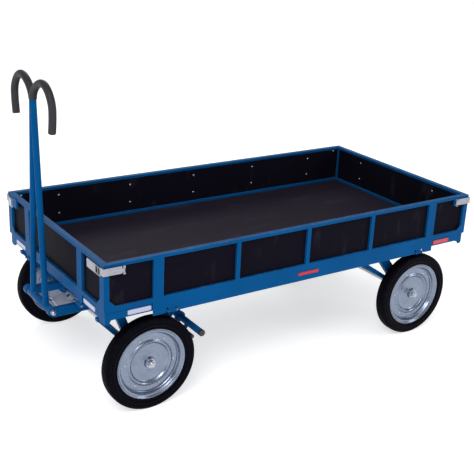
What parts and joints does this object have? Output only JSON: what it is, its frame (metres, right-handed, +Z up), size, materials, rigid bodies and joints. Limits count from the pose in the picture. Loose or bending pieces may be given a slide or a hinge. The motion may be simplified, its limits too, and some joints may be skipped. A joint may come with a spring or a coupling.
{
  "type": "platform trolley",
  "caption": "Steerable hand-drawn platform trolley with a flat plywood deck, hinged drop sides, solid-tyred disc wheels and an upright drawbar.",
  "frame": {"origin": "on the floor, under the middle of the whole trolley's box at rest", "axes": "+X towards the rear, away from the drawbar; +Y across to the far side; +Z up"},
  "size_m": [2.0461, 1.014, 1.316],
  "materials": {
    "blue_paint": "gloss powder coat",
    "film_faced_plywood": "smooth dark phenolic film",
    "deck_plywood": "anti-slip brown phenolic film",
    "zinc_plate": "bright zinc plating",
    "tyre_rubber": "black solid rubber",
    "grip_rubber": "matt soft sleeve",
    "black_plastic": "moulded"
  },
  "bodies": {
    "chassis": {"base_frame": "blue_paint", "deck_board": "deck_plywood", "slew_ring_upper": "zinc_plate", "rear_axle": "zinc_plate", "rear_near_axle_nut": "zinc_plate", "rear_far_axle_nut": "zinc_plate", "near_hinge_pin_a": "zinc_plate", "near_hinge_pin_b": "zinc_plate", "far_hinge_pin_a": "zinc_plate", "far_hinge_pin_b": "zinc_plate", "front_hinge_pin_a": "zinc_plate", "front_hinge_pin_b": "zinc_plate", "rear_hinge_pin_a": "zinc_plate", "rear_hinge_pin_b": "zinc_plate"},
    "bogie": {"bogie_frame": "blue_paint", "slew_ring_lower": "zinc_plate", "kingpin": "zinc_plate", "front_axle": "zinc_plate", "lock_plate": "zinc_plate", "drawbar_pivot_bolt": "zinc_plate", "front_near_axle_nut": "zinc_plate", "front_far_axle_nut": "zinc_plate"},
    "drawbar": {"drawbar_frame": "blue_paint", "hand_grip_near": "grip_rubber", "hand_grip_far": "grip_rubber"},
    "brake": {"brake_bar": "blue_paint", "brake_shaft_cap_near": "black_plastic", "brake_shaft_cap_far": "black_plastic", "brake_shoe_cap_near": "black_plastic", "brake_shoe_cap_far": "black_plastic"},
    "near_side": {"near_side_frame": "blue_paint", "near_side_panel": "film_faced_plywood"},
    "far_side": {"far_side_frame": "blue_paint", "far_side_panel": "film_faced_plywood"},
    "front_side": {"front_side_frame": "blue_paint", "front_side_panel": "film_faced_plywood", "front_latch_strike_a": "zinc_plate", "front_latch_strike_b": "zinc_plate"},
    "rear_side": {"rear_side_frame": "blue_paint", "rear_side_panel": "film_faced_plywood", "rear_latch_strike_a": "zinc_plate", "rear_latch_strike_b": "zinc_plate"},
    "near_latch_a": {"near_latch_lever_a": "zinc_plate"},
    "near_latch_b": {"near_latch_lever_b": "zinc_plate"},
    "far_latch_a": {"far_latch_lever_a": "zinc_plate"},
    "far_latch_b": {"far_latch_lever_b": "zinc_plate"},
    "front_near_wheel": {"front_near_tyre": "tyre_rubber", "front_near_rim": "zinc_plate"},
    "front_far_wheel": {"front_far_tyre": "tyre_rubber", "front_far_rim": "zinc_plate"},
    "rear_near_wheel": {"rear_near_tyre": "tyre_rubber", "rear_near_rim": "zinc_plate"},
    "rear_far_wheel": {"rear_far_tyre": "tyre_rubber", "rear_far_rim": "zinc_plate"}
  },
  "joints": [
    {"name": "near_side_fold", "type": "hinge", "parent": "chassis", "child": "near_side", "pos_m": [0.03625, -0.4985, 0.4365], "axis": [1, 0, 0], "range_deg": [0, 156]},
    {"name": "far_side_fold", "type": "hinge", "parent": "chassis", "child": "far_side", "pos_m": [0.03625, 0.4985, 0.4365], "axis": [-1, 0, 0], "range_deg": [0, 156]},
    {"name": "front_side_fold", "type": "hinge", "parent": "chassis", "child": "front_side", "pos_m": [-0.94475, 0, 0.4365], "axis": [0, -1, 0], "range_deg": [0, 9]},
    {"name": "rear_side_fold", "type": "hinge", "parent": "chassis", "child": "rear_side", "pos_m": [1.01725, 0, 0.4365], "axis": [0, 1, 0], "range_deg": [0, 170]},
    {"name": "near_latch_a_turn", "type": "hinge", "parent": "near_side", "child": "near_latch_a", "pos_m": [-0.85975, -0.5025, 0.6555], "axis": [0, 0, 1], "range_deg": [0, 100]},
    {"name": "near_latch_b_turn", "type": "hinge", "parent": "near_side", "child": "near_latch_b", "pos_m": [0.93225, -0.5025, 0.6555], "axis": [0, 0, -1], "range_deg": [0, 100]},
    {"name": "far_latch_a_turn", "type": "hinge", "parent": "far_side", "child": "far_latch_a", "pos_m": [0.93225, 0.5025, 0.6555], "axis": [0, 0, 1], "range_deg": [0, 100]},
    {"name": "far_latch_b_turn", "type": "hinge", "parent": "far_side", "child": "far_latch_b", "pos_m": [-0.85975, 0.5025, 0.6555], "axis": [0, 0, -1], "range_deg": [0, 100]},
    {"name": "steering", "type": "hinge", "parent": "chassis", "child": "bogie", "pos_m": [-0.72375, 0, 0.43], "axis": [0, 0, 1], "range_deg": [-18, 18]},
    {"name": "drawbar_tilt", "type": "hinge", "parent": "bogie", "child": "drawbar", "pos_m": [-1.00375, 0, 0.357], "axis": [0, -1, 0], "range_deg": [0, 105], "stiffness_Nm_per_rad": 30, "springref_deg": -28.65},
    {"name": "brake_release", "type": "hinge", "parent": "bogie", "child": "brake", "pos_m": [-0.48875, 0, 0.29], "axis": [0, -1, 0], "range_deg": [0, 18]},
    {"name": "front_near_wheel_spin", "type": "hinge", "parent": "bogie", "child": "front_near_wheel", "pos_m": [-0.72375, -0.4575, 0.205], "axis": [0, 1, 0], "continuous": true},
    {"name": "front_far_wheel_spin", "type": "hinge", "parent": "bogie", "child": "front_far_wheel", "pos_m": [-0.72375, 0.4575, 0.205], "axis": [0, 1, 0], "continuous": true},
    {"name": "rear_near_wheel_spin", "type": "hinge", "parent": "chassis", "child": "rear_near_wheel", "pos_m": [0.73625, -0.4575, 0.205], "axis": [0, 1, 0], "continuous": true},
    {"name": "rear_far_wheel_spin", "type": "hinge", "parent": "chassis", "child": "rear_far_wheel", "pos_m": [0.73625, 0.4575, 0.205], "axis": [0, 1, 0], "continuous": true}
  ],
  "couplings": [
    {"joint": "brake_release", "follows": "drawbar_tilt", "ratio": 0.17}
  ]
}
